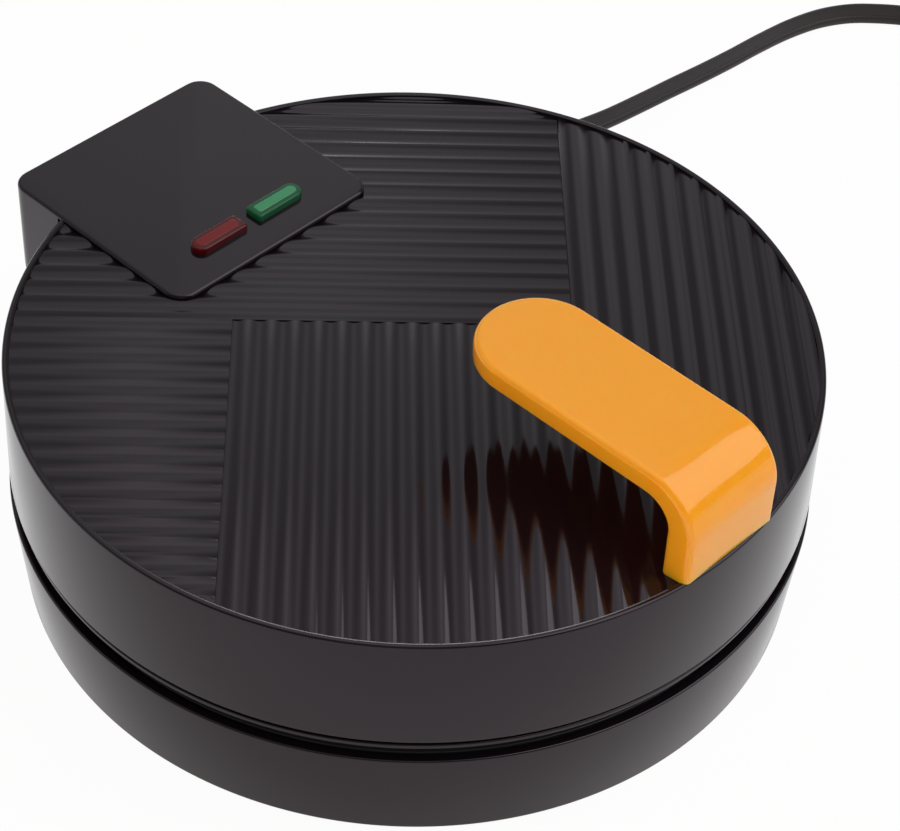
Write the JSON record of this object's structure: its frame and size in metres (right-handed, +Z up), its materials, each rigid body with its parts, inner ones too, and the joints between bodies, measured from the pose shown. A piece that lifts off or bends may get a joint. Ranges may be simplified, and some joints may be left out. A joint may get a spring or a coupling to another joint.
{
  "type": "cupcake maker",
  "caption": "Round countertop cupcake maker with a ribbed hinged lid, arched lift handle, cupped cooking plates and a flat mains lead.",
  "frame": {"origin": "middle of the bounding box in plan, without the mains lead, at the height of the feet's undersides", "axes": "+Z up, -Y to the front where the handle stands, +Y to the hinge, +X to the right seen from the front"},
  "size_m": [0.4337, 0.2316, 0.0968],
  "materials": {
    "black_gloss": "gloss",
    "orange_gloss": "gloss",
    "green_lens": "gloss",
    "red_lens": "gloss",
    "coated_aluminium": "satin",
    "bare_aluminium": "satin",
    "steel": "satin",
    "brass": "satin",
    "black_rubber": "matte",
    "black_satin": "satin",
    "pale_resin": "satin",
    "red_insulation": "satin",
    "white_insulation": "satin",
    "lamp_glass": "gloss"
  },
  "bodies": {
    "base": {"base_shell": "black_gloss", "base_trim_ring": "bare_aluminium", "lower_plate": "coated_aluminium", "lower_element": "steel", "lower_reflector": "bare_aluminium", "lower_thermostat": "steel", "base_terminal_block": "pale_resin", "live_wire": "red_insulation", "neutral_wire": "white_insulation", "inner_lead": "black_satin", "lead_boot": "black_rubber", "hinge_pin": "steel", "lower_plate_screw_1": "steel", "lower_plate_screw_2": "steel", "lower_plate_screw_3": "steel", "foot_1": "black_rubber", "foot_2": "black_rubber", "foot_3": "black_rubber", "foot_4": "black_rubber", "power_cord": "black_rubber", "cord_coil": "black_rubber", "coil_tie": "black_satin", "lead_end": "black_rubber", "plug_body": "black_rubber", "plug_blade_1": "brass", "plug_blade_2": "brass"},
    "lid": {"lid_shell": "black_gloss", "hinge_cover": "black_gloss", "handle": "orange_gloss", "lid_collar": "black_gloss", "upper_plate": "coated_aluminium", "upper_element": "steel", "upper_reflector": "bare_aluminium", "upper_thermostat": "steel", "lid_terminal_block": "pale_resin", "lid_live_wire": "red_insulation", "lid_neutral_wire": "white_insulation", "lamp_wire": "white_insulation", "lamp_holder": "pale_resin", "green_lamp": "lamp_glass", "red_lamp": "lamp_glass", "green_lens": "green_lens", "red_lens": "red_lens", "handle_screw_1": "steel", "handle_screw_2": "steel", "cover_screw_1": "steel", "cover_screw_2": "steel", "upper_plate_screw_1": "steel", "upper_plate_screw_2": "steel", "upper_plate_screw_3": "steel"}
  },
  "joints": [
    {"name": "lid_hinge", "type": "hinge", "parent": "base", "child": "lid", "pos_m": [0, 0.09955, 0.051], "axis": [-1, 0, 0], "range_deg": [0, 100]}
  ]
}
